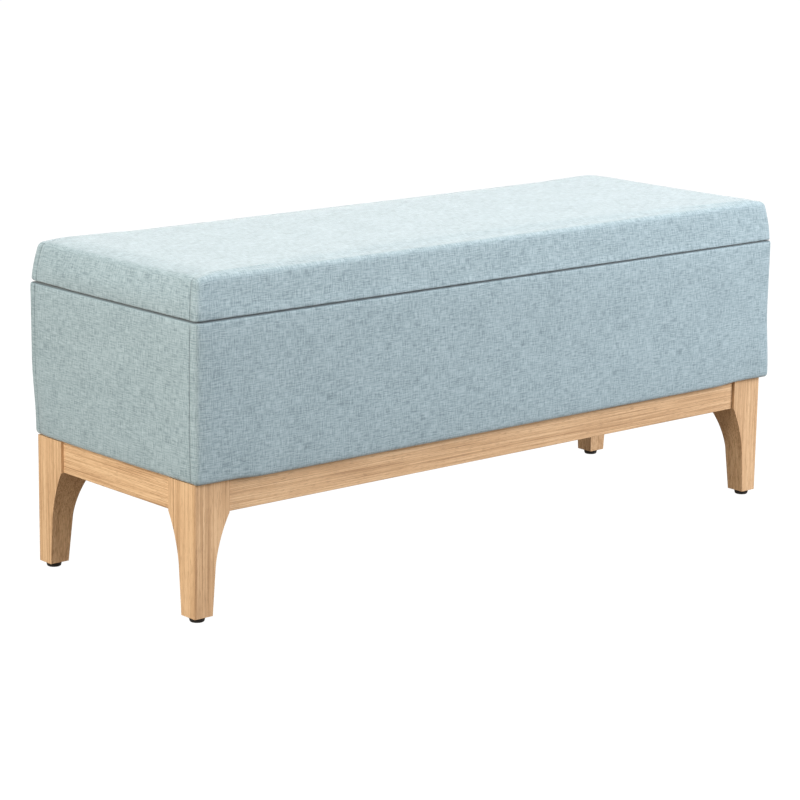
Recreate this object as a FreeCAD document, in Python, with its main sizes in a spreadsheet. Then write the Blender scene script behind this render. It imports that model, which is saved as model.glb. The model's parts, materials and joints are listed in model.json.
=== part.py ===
import FreeCAD, Part
import math
import os
import re

import Sketcher
from FreeCAD import Placement, Rotation, Vector

# Upholstered storage bench, in millimetres.
# The origin is on the floor under the middle of the bench. X runs along its
# length, the front faces -Y, and Z is up.

os.makedirs("parts", exist_ok=True)
document = FreeCAD.newDocument("StorageBench")

# Dimensions.

dimensions = {
    # whole bench
    "bench_length": 1100,
    "bench_depth": 380,
    "bench_height": 460,
    "box_bottom": 188.5,
    "box_top": 401,
    "lid_gap": 2,
    # coverings
    "cloth": 2,
    "hem_cloth": 1.5,
    "foam": 8,
    "hem_width": 28.5,
    "cover_corner": 10,
    "cover_edge": 6,
    "lining_cloth": 1.5,
    "dust_cloth": 1,
    # box panels
    "panel": 15,
    "floor_panel": 12,
    # legs and rails
    "leg_inset_long": 4,
    "leg_inset_short": 10,
    "leg_side": 57,
    "leg_waist": 34.5,
    "leg_waist_height": 75,
    "leg_toe": 29.5,
    "leg_curve": 190,
    "leg_corner": 3,
    "leg_gap": 1,
    "rail_bottom": 143,
    "rail_recess": 4.5,
    "rail_thick": 20,
    "rail_edge": 1.2,
    "cross_rail_width": 40,
    "block_thick": 25,
    "block_reach": 80,
    "block_bolt_inset": 14,
    "block_screw_reach": 40,
    "block_screw_bore": 4,
    "block_screw_bore_length": 60,
    "block_screw_skin": 22,
    "block_screw_head": 3.8,
    "block_screw_head_height": 3,
    "block_screw_shank": 2,
    "block_screw_length": 38,
    # bolts that hold the box on its frame
    "bolt_head": 6.5,
    "bolt_head_height": 5,
    "bolt_shank": 4,
    "bolt_length": 42,
    "washer_radius": 8,
    "washer_height": 1.5,
    "nut_flange": 10,
    "nut_flange_height": 1.5,
    "nut_barrel": 5.5,
    # foot glides
    "glide_height": 7.5,
    "glide_top_radius": 11.3,
    "glide_foot_radius": 9.8,
    "glide_edge": 1,
    "glide_bore": 4,
    "glide_web": 3,
    "glide_screw_head": 3.5,
    "glide_screw_head_height": 1.5,
    "glide_screw_shank": 1.75,
    "glide_screw_length": 22,
    # lid
    "lid_inset": 1,
    "lid_slope": 8,
    "lid_corner": 10,
    "lid_top_edge": 9,
    "lid_board": 15,
    "lid_board_inset": 12,
    # hinges
    "hinge_place": 330,
    "hinge_width": 60,
    "hinge_setback": 4,
    "knuckle_radius": 4,
    "knuckle_middle": 22,
    "knuckle_gap": 0.5,
    "pin_radius": 2,
    "running_fit": 0.1,
    "leaf": 0.9,
    "leaf_depth": 30,
    "leaf_screw_pitch": 20,
    "leaf_screw_depth": 14,
    "relief_radius": 4.4,
    "relief_end": 1,
    "relief_air": 0.2,
    "small_screw_head": 3.2,
    "small_screw_shank": 1.6,
    "small_screw_length": 14,
    # lid stays
    "stay_plate": 1.5,
    "stay_arm": 2,
    "stay_arm_radius": 7,
    "stay_air": 0.5,
    "stay_pin_radius": 3,
    "stay_pin_head": 5,
    "stay_pivot_fit": 0.25,
    "stay_box_back": 30,
    "stay_box_drop": 52,
    "stay_lid_forward": 110,
    "stay_lid_drop": 12,
    "stay_foot_depth": 40,
    "stay_foot_width": 20,
    "stay_foot_screw": 21,
    "stay_plate_front": 20,
    "stay_plate_back": 7,
    "stay_plate_above": 10,
    "stay_plate_below": 28,
    "stay_screw_below": 20,
    "stay_screw_spread": 12,
    "stay_web_drop": 7,
    "stay_arm_air": 1,
    "stay_head_air": 0.2,
    "stay_head": 0.6,
    "stay_collar_air": 0.25,
    # pads between box and lid
    "bumper_radius": 6,
    "bumper_height": 1.7,
    "bumper_pitch": 315,
    # how far a cutting block runs past the face that it opens
    "overrun": 1,
}

sheet = document.addObject("Spreadsheet::Sheet", "Size")
for row, (alias, number) in enumerate(dimensions.items(), start=1):
    sheet.set(f"A{row}", alias.replace("_", " "))
    sheet.set(f"B{row}", str(number))
    sheet.setAlias(f"B{row}", alias)
document.recompute()

# Places worked out from the driving dimensions, written as expressions.
half_length = "bench_length / 2"
half_depth = "bench_depth / 2"
leg_x = f"({half_length} - leg_inset_long)"
leg_y = f"({half_depth} - leg_inset_short)"
foot_x = f"({leg_x} - leg_toe / 2)"
foot_y = f"({leg_y} - leg_toe / 2)"
rail_out_x = f"({leg_x} - rail_recess)"
rail_out_y = f"({leg_y} - rail_recess)"
rail_in_x = f"({rail_out_x} - rail_thick)"
rail_in_y = f"({rail_out_y} - rail_thick)"
leg_in_x = f"({leg_x} - leg_side)"
leg_in_y = f"({leg_y} - leg_side)"
panel_out_x = f"({half_length} - cloth - foam)"
panel_out_y = f"({half_depth} - cloth - foam)"
panel_in_x = f"({panel_out_x} - panel)"
panel_in_y = f"({panel_out_y} - panel)"
panel_low = "(box_bottom + cloth)"
panel_high = "(box_top - cloth)"
floor_high = f"({panel_low} + floor_panel)"
lining_in_x = f"({panel_in_x} - lining_cloth)"
lining_in_y = f"({panel_in_y} - lining_cloth)"
frame_top = f"({panel_low} - dust_cloth)"
bolt_x = f"({leg_in_x} - block_bolt_inset)"
bolt_y = f"({leg_in_y} - block_bolt_inset)"
lid_low = "(box_top + lid_gap)"
board_low = f"({lid_low} + hem_cloth)"
board_high = f"({board_low} + lid_board)"
lid_x = f"({half_length} - lid_inset)"
lid_y = f"({half_depth} - lid_inset)"
axis_y = f"({half_depth} - hinge_setback)"
axis_z = "(box_top + lid_gap / 2)"
leaf_screw_y = f"({axis_y} - leaf_screw_depth)"
stay_box_y = f"({axis_y} - stay_box_back)"
stay_box_z = f"({axis_z} - stay_box_drop)"
stay_lid_y = f"({axis_y} - stay_lid_forward)"
stay_lid_z = f"({axis_z} - stay_lid_drop)"
stay_lid_length = math.hypot(dimensions["stay_lid_forward"], dimensions["stay_lid_drop"])
stay_box_length = math.hypot(dimensions["stay_box_back"], dimensions["stay_box_drop"])

sides = {"left": -1, "right": 1}
ends = {"front": -1, "back": 1}
nodes = {}


# Helpers.

def fromSheet(expression):
    """Names each dimension in an expression by its cell in the sheet."""
    return re.sub(r"[a-z]\w*", lambda word: f"Size.{word.group()}", expression)


def value(expression):
    return float(sheet.evalExpression(fromSheet(expression)))


def bind(thing, prop, expression):
    thing.setExpression(prop, fromSheet(expression))


def bindPlace(thing, x="0", y="0", z="0"):
    for axis, expression in (("x", x), ("y", y), ("z", z)):
        bind(thing, f"Placement.Base.{axis}", expression)


def node(label, thing):
    thing.Label = label
    nodes[label] = thing
    return thing


def span(side, near, far):
    """The low and high expressions of a stretch that lies on one side of the middle."""
    if side > 0:
        return near, far
    return f"-({far})", f"-({near})"


def box(name, x, y, z):
    block = document.addObject("Part::Box", name)
    for prop, (low, high) in (("Length", x), ("Width", y), ("Height", z)):
        bind(block, prop, f"({high}) - ({low})")
    bindPlace(block, x[0], y[0], z[0])
    return block


def cylinder(name, radius, length, start, direction):
    rod = document.addObject("Part::Cylinder", name)
    bind(rod, "Radius", radius)
    bind(rod, "Height", length)
    rod.Placement = Placement(Vector(), Rotation(Vector(0, 0, 1), Vector(*direction)))
    bindPlace(rod, *start)
    return rod


def compound(name, pieces):
    group = document.addObject("Part::Compound", name)
    group.Links = pieces
    return group


def fuse(name, pieces):
    whole = document.addObject("Part::MultiFuse", name)
    whole.Shapes = pieces
    return whole


def cut(name, base, tools):
    result = document.addObject("Part::Cut", name)
    result.Base = base
    result.Tool = tools[0] if len(tools) == 1 else fuse(f"{name}Tools", tools)
    return result


def common(name, base, tool):
    result = document.addObject("Part::Common", name)
    result.Base = base
    result.Tool = tool
    return result


def originPlane(body, role):
    return [plane for plane in body.Origin.OriginFeatures if plane.Role == role][0]


def fixPoint(sketch, geometry, point, x, y):
    """Holds a sketch point at x and y from the sketch's origin."""
    for kind, expression in (("DistanceX", x), ("DistanceY", y)):
        index = sketch.addConstraint(
            Sketcher.Constraint(kind, -1, 1, geometry, point, value(expression))
        )
        sketch.setExpression(f"Constraints[{index}]", fromSheet(expression))


def fixRadius(sketch, geometry, radius):
    index = sketch.addConstraint(Sketcher.Constraint("Radius", geometry, value(radius)))
    sketch.setExpression(f"Constraints[{index}]", fromSheet(radius))


def outline(body, role, corners, arcs=None, holes=()):
    """A closed sketch through corners; arcs gives the radius of a bent stretch, which
    bulges to the right of its direction when positive and to the left when negative."""
    arcs = arcs or {}
    sketch = body.newObject("Sketcher::SketchObject", f"{body.Name}Sketch")
    sketch.AttachmentSupport = [(originPlane(body, role), "")]
    sketch.MapMode = "FlatFace"
    points = [Vector(value(x), value(y), 0) for x, y in corners]
    starts = []
    for index, start in enumerate(points):
        end = points[(index + 1) % len(points)]
        if index in arcs:
            bend, turn = arcs[index]
            chord = end - start
            right = Vector(chord.y, -chord.x, 0).normalize() * turn
            radius = value(bend)
            rise = radius - math.sqrt(max(radius**2 - (chord.Length / 2) ** 2, 0))
            middle = (start + end) / 2 + right * rise
            sketch.addGeometry(Part.ArcOfCircle(start, middle, end), False)
            forward = sketch.getPoint(index, 1).isEqual(start, 1e-6)
            starts.append(1 if forward else 2)
        else:
            sketch.addGeometry(Part.LineSegment(start, end), False)
            starts.append(1)
    for index, (x, y) in enumerate(corners):
        before = index - 1 if index else len(corners) - 1
        sketch.addConstraint(
            Sketcher.Constraint("Coincident", before, 3 - starts[before], index, starts[index])
        )
        fixPoint(sketch, index, starts[index], x, y)
    for index, (bend, turn) in arcs.items():
        if 2 * value(bend) > (points[(index + 1) % len(points)] - points[index]).Length + 1e-6:
            fixRadius(sketch, index, bend)
    for x, y, radius in holes:
        place = Vector(value(x), value(y), 0)
        index = sketch.addGeometry(Part.Circle(place, Vector(0, 0, 1), value(radius)), False)
        fixPoint(sketch, index, 3, x, y)
        fixRadius(sketch, index, radius)
    return sketch


def newBody(name):
    return document.addObject("PartDesign::Body", name)


def pad(body, sketch, thickness, reversed=False):
    feature = body.newObject("PartDesign::Pad", f"{body.Name}Pad")
    feature.Profile = sketch
    feature.Reversed = reversed
    bind(feature, "Length", thickness)
    document.recompute()
    return feature


def plate(name, role, corners, thickness, arcs=None, holes=()):
    body = newBody(name)
    pad(body, outline(body, role, corners, arcs, holes), thickness)
    return body


def revolve(name, corners):
    """A turned piece: the outline is in the XZ plane and spins about Z."""
    body = newBody(name)
    sketch = outline(body, "XZ_Plane", corners)
    feature = body.newObject("PartDesign::Revolution", f"{name}Turn")
    feature.Profile = sketch
    feature.ReferenceAxis = (sketch, ["V_Axis"])
    feature.Angle = 360
    document.recompute()
    return body


def roundEdges(body, chosen, radius):
    """Fillets the edges for which chosen(edge) is true."""
    feature = body.Tip
    edges = [
        f"Edge{index}"
        for index, edge in enumerate(feature.Shape.Edges, start=1)
        if chosen(edge)
    ]
    fillet = body.newObject("PartDesign::Fillet", f"{body.Name}Round")
    fillet.Base = (feature, edges)
    bind(fillet, "Radius", radius)
    document.recompute()
    return fillet


def isUpright(edge):
    box = edge.BoundBox
    return box.ZLength > max(box.XLength, box.YLength)


def isLevelAt(height):
    return lambda edge: edge.BoundBox.ZLength < 0.01 and abs(edge.BoundBox.ZMin - height) < 0.01


def screw(name, head, head_height, shank, length):
    """A screw whose head's top is at the origin and whose tip points down."""
    corners = [
        ("0", "0"),
        (head, "0"),
        (head, f"-{head_height}"),
        (shank, f"-{head_height}"),
        (shank, f"-({length} - {shank})"),
        ("0", f"-{length}"),
    ]
    return revolve(name, corners)


def group(label, pattern, places):
    """One node of equal fasteners: places holds their heads and where they point."""
    copies = []
    for index, (start, direction) in enumerate(places):
        copy = document.addObject("App::Link", f"{pattern.Name}Copy{index}")
        copy.LinkedObject = pattern
        turn = Rotation(Vector(0, 0, -1), Vector(*direction))
        copy.Placement = Placement(Vector(), turn)
        bindPlace(copy, *start)
        copies.append(copy)
    return node(label, compound(f"{pattern.Name}Group", copies))


def isOuterCorner(edge):
    return isUpright(edge) and all(math.hypot(v.X, v.Y) < 0.01 for v in edge.Vertexes)


def fourCorners():
    """Names and signs of the four corners, with the quarter turns from the front left one."""
    return [
        ("front_left", -1, -1, 0),
        ("front_right", 1, -1, 1),
        ("back_right", 1, 1, 2),
        ("back_left", -1, 1, 3),
    ]


# Fasteners, made first.
# The pieces that hold them are cut with them, so that each hole fits its screw.

glide_screw_z = "(glide_web - glide_screw_head_height)"
glide_screws = group(
    "glide_screws",
    screw(
        "GlideScrew",
        "glide_screw_head",
        "glide_screw_head_height",
        "glide_screw_shank",
        "glide_screw_length",
    ),
    [
        ((f"{sx} * {foot_x}", f"{sy} * {foot_y}", glide_screw_z), (0, 0, 1))
        for _, sx, sy, _ in fourCorners()
    ],
)

block_screw_z = f"({frame_top} - block_thick / 2)"
block_screw_places = []
block_bores = []
for corner, sx, sy, _ in fourCorners():
    along_x = f"({leg_in_x} - block_screw_reach)"
    along_y = f"({leg_in_y} - block_screw_reach)"
    head_y = f"({rail_in_y} - block_screw_skin)"
    head_x = f"({rail_in_x} - block_screw_skin)"
    toward_rail = ((f"{sx} * {along_x}", f"{sy} * {head_y}", block_screw_z), (0, sy, 0))
    toward_end = ((f"{sx} * {head_x}", f"{sy} * {along_y}", block_screw_z), (sx, 0, 0))
    block_screw_places += [toward_rail, toward_end]
    for start, direction in (toward_rail, toward_end):
        away = [-step for step in direction]
        name = f"BlockBore{len(block_bores)}"
        bore = cylinder(name, "block_screw_bore", "block_screw_bore_length", start, away)
        block_bores.append(bore)
block_screws = group(
    "corner_block_screws",
    screw(
        "BlockScrew",
        "block_screw_head",
        "block_screw_head_height",
        "block_screw_shank",
        "block_screw_length",
    ),
    block_screw_places,
)

bolt_places = [(f"{sx} * {bolt_x}", f"{sy} * {bolt_y}") for _, sx, sy, _ in fourCorners()]
bolt_places += [("0", f"{sy} * {bolt_y}") for sy in (-1, 1)]
washer_z = f"({frame_top} - block_thick - washer_height)"
bolt_head_z = f"({washer_z} - bolt_head_height)"
base_bolts = group(
    "base_bolts",
    screw("BaseBolt", "bolt_head", "bolt_head_height", "bolt_shank", "bolt_length"),
    [((x, y, bolt_head_z), (0, 0, 1)) for x, y in bolt_places],
)
washer_body = revolve(
    "BoltWasher",
    [
        ("bolt_shank", "0"),
        ("washer_radius", "0"),
        ("washer_radius", "washer_height"),
        ("bolt_shank", "washer_height"),
    ],
)
bolt_washers = group(
    "bolt_washers",
    washer_body,
    [((x, y, f"{washer_z} + washer_height"), (0, 0, 1)) for x, y in bolt_places],
)
tee_nut_body = revolve(
    "TeeNut",
    [
        ("bolt_shank", "0"),
        ("nut_flange", "0"),
        ("nut_flange", "-nut_flange_height"),
        ("nut_barrel", "-nut_flange_height"),
        ("nut_barrel", "-floor_panel"),
        ("bolt_shank", "-floor_panel"),
    ],
)
tee_nuts = group(
    "tee_nuts",
    tee_nut_body,
    [((x, y, floor_high), (0, 0, -1)) for x, y in bolt_places],
)

leaf_screw_places = [
    (f"{side} * hinge_place + {step} * leaf_screw_pitch", leaf_screw_y)
    for side in sides.values()
    for step in (-1, 0, 1)
]
leaf_screw = screw(
    "LeafScrew", "small_screw_head", "leaf", "small_screw_shank", "small_screw_length"
)
hinge_screws_box = group(
    "hinge_screws_box",
    leaf_screw,
    [((x, y, "box_top + leaf"), (0, 0, -1)) for x, y in leaf_screw_places],
)
hinge_screws_lid = group(
    "hinge_screws_lid",
    leaf_screw,
    [((x, y, f"{lid_low} - leaf"), (0, 0, 1)) for x, y in leaf_screw_places],
)

stay_screw = screw(
    "StayScrew", "small_screw_head", "stay_plate", "small_screw_shank", "small_screw_length"
)
stay_screw_z = f"({stay_box_z} - stay_screw_below)"
stay_screw_rows = (f"{stay_box_y} - stay_screw_spread", stay_box_y)
stay_screws_box = group(
    "stay_screws_box",
    stay_screw,
    [
        ((f"{side} * ({lining_in_x} - stay_plate)", y, stay_screw_z), (side, 0, 0))
        for side in sides.values()
        for y in stay_screw_rows
    ],
)
stay_foot_x = f"({lining_in_x} - stay_foot_screw)"
stay_screws_lid = group(
    "stay_screws_lid",
    stay_screw,
    [
        ((f"{side} * {stay_foot_x}", y, f"{lid_low} - stay_plate"), (0, 0, 1))
        for side in sides.values()
        for y in (f"{stay_lid_y} - stay_screw_spread", f"{stay_lid_y} + stay_screw_spread")
    ],
)

# Base frame.


def buildLeg(label, sx, sy, quarter):
    # The leg's outer corner is at its own origin and its foot tapers on the two
    # inner faces only: a long curve below the rail, then a nearly straight run.
    body = newBody(f"Leg{quarter}")
    curve = [
        ("leg_toe", "glide_height"),
        ("leg_waist", "leg_waist_height"),
        ("leg_side", "rail_bottom"),
    ]
    side_view = [("0", "glide_height")] + curve + [
        ("leg_side", "box_bottom - leg_gap"),
        ("0", "box_bottom - leg_gap"),
    ]
    pad(body, outline(body, "XZ_Plane", side_view, {2: ("leg_curve", -1)}), "leg_side", True)
    waste = curve + [("leg_side", "glide_height")]
    sketch = outline(body, "YZ_Plane", waste, {1: ("leg_curve", -1)})
    pocket = body.newObject("PartDesign::Pocket", f"{body.Name}Taper")
    pocket.Profile = sketch
    pocket.Reversed = True
    bind(pocket, "Length", "leg_side")
    document.recompute()
    roundEdges(body, isOuterCorner, "leg_corner")
    body.Placement = Placement(Vector(), Rotation(Vector(0, 0, 1), 90 * quarter))
    bindPlace(body, f"{sx} * {leg_x}", f"{sy} * {leg_y}")
    node(f"leg_{label}", cut(f"LegDrilled{quarter}", body, [glide_screws]))


for label, sx, sy, quarter in fourCorners():
    buildLeg(label, sx, sy, quarter)


def rectangle(across, along):
    return [
        (across[0], along[0]),
        (across[1], along[0]),
        (across[1], along[1]),
        (across[0], along[1]),
    ]


def buildRail(label, side, reach, near, far, quarter):
    # Drawn across its section and padded along its length, with eased long edges.
    name = f"Rail{label.capitalize()}"
    plane = ("YZ_Plane", "XZ_Plane")[quarter]
    section = rectangle(span(side, near, far), ("rail_bottom", "box_bottom"))
    blank = plate(f"{name}Blank", plane, section, f"2 * {reach}")
    long_way = ("XLength", "YLength")[quarter]
    roundEdges(blank, lambda edge: getattr(edge.BoundBox, long_way) > value(reach), "rail_edge")
    if quarter:
        bindPlace(blank, y=reach)
    else:
        bindPlace(blank, x=f"-{reach}")
    node(f"rail_{label}", cut(name, blank, [block_screws]))


for label, side in ends.items():
    buildRail(label, side, leg_in_x, rail_in_y, rail_out_y, 0)
for label, side in sides.items():
    buildRail(label, side, leg_in_y, rail_in_x, rail_out_x, 1)

cross_rail = box(
    "CrossRailBlank",
    ("-cross_rail_width / 2", "cross_rail_width / 2"),
    (f"-{rail_in_y}", rail_in_y),
    (f"{frame_top} - block_thick", frame_top),
)
node("cross_rail", cut("CrossRail", cross_rail, [base_bolts]))

for label, sx, sy, quarter in fourCorners():
    # A block wraps the inner corner of the leg and bears on both rails.
    corners = [
        (f"{leg_in_x} - block_reach", rail_in_y),
        (leg_in_x, rail_in_y),
        (leg_in_x, leg_in_y),
        (rail_in_x, leg_in_y),
        (rail_in_x, f"{leg_in_y} - block_reach"),
    ]
    corners = [(f"{sx} * ({x})", f"{sy} * ({y})") for x, y in corners]
    block = plate(f"Block{quarter}", "XY_Plane", corners, "block_thick")
    bindPlace(block, z=f"{frame_top} - block_thick")
    tools = [base_bolts, block_screws] + block_bores
    node(f"corner_block_{label}", cut(f"BlockDrilled{quarter}", block, tools))

for label, sx, sy, quarter in fourCorners():
    glide = revolve(
        f"Glide{quarter}",
        [
            ("glide_bore", "0"),
            ("glide_foot_radius - glide_edge", "0"),
            ("glide_foot_radius", "glide_edge"),
            ("glide_top_radius", "glide_height"),
            ("glide_screw_shank", "glide_height"),
            ("glide_screw_shank", "glide_web"),
            ("glide_bore", "glide_web"),
        ],
    )
    bindPlace(glide, f"{sx} * {foot_x}", f"{sy} * {foot_y}")
    node(f"foot_glide_{label}", glide)

# Storage box.

full_x = (f"-{panel_out_x}", panel_out_x)
inner_x = (f"-{panel_in_x}", panel_in_x)
inner_y = (f"-{panel_in_y}", panel_in_y)
panel_z = (panel_low, panel_high)

panel_y = {label: span(side, panel_in_y, panel_out_y) for label, side in ends.items()}
node("front_panel", box("FrontPanel", full_x, panel_y["front"], panel_z))
back_blank = box("BackPanelBlank", full_x, panel_y["back"], panel_z)
node("back_panel", cut("BackPanel", back_blank, [hinge_screws_box]))
for label, side in sides.items():
    across = span(side, panel_in_x, panel_out_x)
    blank = box(f"EndPanel{label.capitalize()}Blank", across, inner_y, panel_z)
    drilled = cut(f"EndPanel{label.capitalize()}", blank, [stay_screws_box])
    node(f"{label}_end_panel", drilled)
floor_blank = box("BottomPanelBlank", inner_x, inner_y, (panel_low, floor_high))
bolt_bores = [
    cylinder(f"BoltBore{index}", "bolt_shank", "floor_panel", (x, y, panel_low), (0, 0, 1))
    for index, (x, y) in enumerate(bolt_places)
]
node("bottom_panel", cut("BottomPanel", floor_blank, [tee_nuts] + bolt_bores))

dust_blank = box(
    "DustCoverBlank",
    (f"-({half_length} - hem_width)", f"{half_length} - hem_width"),
    (f"-({half_depth} - hem_width)", f"{half_depth} - hem_width"),
    (frame_top, panel_low),
)
node("dust_cover", cut("DustCover", dust_blank, [base_bolts]))


def roundedBlock(name, half_x, half_y, low, high, corner, edge):
    # A block with rounded upright corners, then rounded top and bottom edges.
    corners = [
        (f"-({half_x})", f"-({half_y})"),
        (half_x, f"-({half_y})"),
        (half_x, half_y),
        (f"-({half_x})", half_y),
    ]
    body = plate(name, "XY_Plane", corners, f"({high}) - ({low})")
    roundEdges(body, isUpright, corner)
    tall = value(f"({high}) - ({low})")
    roundEdges(body, lambda rim: isLevelAt(0)(rim) or isLevelAt(tall)(rim), edge)
    bindPlace(body, z=low)
    return body


hinge_reliefs = fuse(
    "HingeReliefs",
    [
        cylinder(
            f"HingeRelief{label.capitalize()}",
            "relief_radius",
            "hinge_width + 2 * relief_end",
            (f"{side} * hinge_place - hinge_width / 2 - relief_end", axis_y, axis_z),
            (1, 0, 0),
        )
        for label, side in sides.items()
    ],
)

box_skin = roundedBlock(
    "BoxSkin", half_length, half_depth, "box_bottom", "box_top", "cover_corner", "cover_edge"
)
box_core = roundedBlock(
    "BoxCore",
    f"{half_length} - cloth",
    f"{half_depth} - cloth",
    panel_low,
    panel_high,
    "cover_corner - cloth",
    "cover_edge - cloth",
)
box_mouth = box("BoxMouth", inner_x, inner_y, (panel_high, "box_top + overrun"))
box_under = box(
    "BoxUnder",
    (f"-({half_length} - hem_width)", f"{half_length} - hem_width"),
    (f"-({half_depth} - hem_width)", f"{half_depth} - hem_width"),
    ("box_bottom - overrun", panel_low),
)
node(
    "body_cover",
    cut(
        "BodyCover",
        box_skin,
        [box_core, box_mouth, box_under, hinge_reliefs, hinge_screws_box],
    ),
)

for label, side in ends.items():
    slab = box(
        f"FoamSlab{label.capitalize()}",
        (f"-({half_length})", half_length),
        span(side, panel_out_y, half_depth),
        panel_z,
    )
    shaped = common(f"Foam{label.capitalize()}Shape", slab, box_core)
    node(f"foam_{label}", cut(f"Foam{label.capitalize()}", shaped, [hinge_reliefs]))
for label, side in sides.items():
    slab = box(
        f"FoamSlab{label.capitalize()}",
        span(side, panel_out_x, half_length),
        (f"-{panel_out_y}", panel_out_y),
        panel_z,
    )
    node(f"foam_{label}", common(f"Foam{label.capitalize()}", slab, box_core))

lining_block = box("LiningBlock", inner_x, inner_y, (floor_high, "box_top"))
lining_space = box(
    "LiningSpace",
    (f"-{lining_in_x}", lining_in_x),
    (f"-{lining_in_y}", lining_in_y),
    (f"{floor_high} + lining_cloth", "box_top + overrun"),
)
node("lining", cut("Lining", lining_block, [lining_space, stay_screws_box]))

bumpers = [
    cylinder(
        f"Bumper{index}",
        "bumper_radius",
        "bumper_height",
        (f"{step} * bumper_pitch", f"-({panel_in_y} + panel / 2)", "box_top"),
        (0, 0, 1),
    )
    for index, step in enumerate((-1.5, -0.5, 0.5, 1.5))
]
node("lid_bumpers", compound("Bumpers", bumpers))

# Lid.


def slopedBlock(name, half_x, half_y, low, high, corner, top_edge, low_edge):
    # A block whose four sides lean inwards as they rise.
    corners = [
        (f"-({half_x})", f"-({half_y})"),
        (half_x, f"-({half_y})"),
        (half_x, half_y),
        (f"-({half_x})", half_y),
    ]
    body = newBody(name)
    feature = pad(body, outline(body, "XY_Plane", corners), f"({high}) - ({low})")
    bind(feature, "TaperAngle", "-lid_slope")
    document.recompute()
    tall = value(f"({high}) - ({low})")
    roundEdges(body, isUpright, corner)
    roundEdges(body, isLevelAt(tall), top_edge)
    roundEdges(body, isLevelAt(0), low_edge)
    bindPlace(body, z=low)
    return body


lid_skin = slopedBlock(
    "LidSkin", lid_x, lid_y, lid_low, "bench_height", "lid_corner", "lid_top_edge", "cover_edge"
)
lid_core = slopedBlock(
    "LidCore",
    f"{lid_x} - cloth",
    f"{lid_y} - cloth",
    board_low,
    "bench_height - cloth",
    "lid_corner - cloth",
    "lid_top_edge - cloth",
    "cover_edge - cloth",
)
lid_under_x = (f"-({lid_x} - hem_width)", f"{lid_x} - hem_width")
lid_under_y = (f"-({lid_y} - hem_width)", f"{lid_y} - hem_width")
lid_under = box("LidUnder", lid_under_x, lid_under_y, (f"{lid_low} - overrun", board_low))
node(
    "lid_cover",
    cut("LidCover", lid_skin, [lid_core, lid_under, hinge_reliefs, hinge_screws_lid]),
)
board_blank = box(
    "LidBoardBlank",
    (f"-({lid_x} - lid_board_inset)", f"{lid_x} - lid_board_inset"),
    (f"-({lid_y} - lid_board_inset)", f"{lid_y} - lid_board_inset"),
    (board_low, board_high),
)
node("lid_foam", cut("LidFoam", lid_core, [board_blank, hinge_reliefs]))
node("lid_board", cut("LidBoard", board_blank, [hinge_screws_lid, stay_screws_lid]))
lid_lining_blank = box("LidLiningBlank", lid_under_x, lid_under_y, (lid_low, board_low))
lid_lining_tools = [stay_screws_lid, hinge_screws_lid]
node("lid_lining", cut("LidLining", lid_lining_blank, lid_lining_tools))

# Hinges.


def buildHinge(label, side):
    middle = f"{side} * hinge_place"
    name = f"Hinge{label.capitalize()}"
    whole = (f"{middle} - hinge_width / 2", f"{middle} + hinge_width / 2")
    inner = "knuckle_middle / 2"
    centre = (f"{middle} - {inner}", f"{middle} + {inner}")
    outer = [
        (whole[0], f"{centre[0]} - knuckle_gap"),
        (f"{centre[1]} + knuckle_gap", whole[1]),
    ]
    leaf_front = f"{axis_y} - leaf_depth"
    leaf_back = f"{axis_y} - relief_radius - relief_air"

    def buildLeaf(part, z, stretches, bore, screws):
        leaf = [box(f"{name}{part}Leaf", whole, (leaf_front, leaf_back), z)]
        for index, stretch in enumerate(stretches):
            leaf.append(box(f"{name}{part}Tab{index}", stretch, (leaf_back, axis_y), z))
            length = f"({stretch[1]}) - ({stretch[0]})"
            start = (stretch[0], axis_y, axis_z)
            knuckle = f"{name}{part}Knuckle{index}"
            leaf.append(cylinder(knuckle, "knuckle_radius", length, start, (1, 0, 0)))
        start = (f"{whole[0]} - overrun", axis_y, axis_z)
        length = "hinge_width + 2 * overrun"
        hole = cylinder(f"{name}{part}Bore", bore, length, start, (1, 0, 0))
        return cut(f"{name}{part}", fuse(f"{name}{part}Blank", leaf), [hole, screws])

    box_z = ("box_top", "box_top + leaf")
    lid_z = (f"{lid_low} - leaf", lid_low)
    node(f"hinge_{label}_box_leaf", buildLeaf("Box", box_z, outer, "pin_radius", hinge_screws_box))
    free_bore = "pin_radius + running_fit"
    node(f"hinge_{label}_lid_leaf", buildLeaf("Lid", lid_z, [centre], free_bore, hinge_screws_lid))
    pin = cylinder(f"{name}Pin", "pin_radius", "hinge_width", (whole[0], axis_y, axis_z), (1, 0, 0))
    node(f"hinge_{label}_pin", pin)


for label, side in sides.items():
    buildHinge(label, side)

# Lid stays.
# Each stay is a four-bar linkage with equal opposite sides: the lid and the
# long arm turn together, and the short arm keeps its lean.


def steps(*thicknesses):
    # Distances from the lining inwards, one after another.
    total = "0"
    result = []
    for thickness in thicknesses:
        result.append((total, f"{total} + {thickness}"))
        total = f"{total} + {thickness}"
    return result


def inwards(side, layer):
    near, far = layer
    return span(side, f"{lining_in_x} - ({far})", f"{lining_in_x} - ({near})")


def buildArm(name, length, start_y, start_z, angle, side, layer, bores):
    radius = "stay_arm_radius"
    body = plate(
        name,
        "YZ_Plane",
        [("0", f"-{radius}"), (length, f"-{radius}"), (length, radius), ("0", radius)],
        "stay_arm",
        {1: (radius, 1), 3: (radius, 1)},
        [("0", "0", bores[0]), (length, "0", bores[1])],
    )
    body.Placement = Placement(Vector(), Rotation(Vector(1, 0, 0), angle))
    bindPlace(body, inwards(side, layer)[0], start_y, start_z)
    return body


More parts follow.
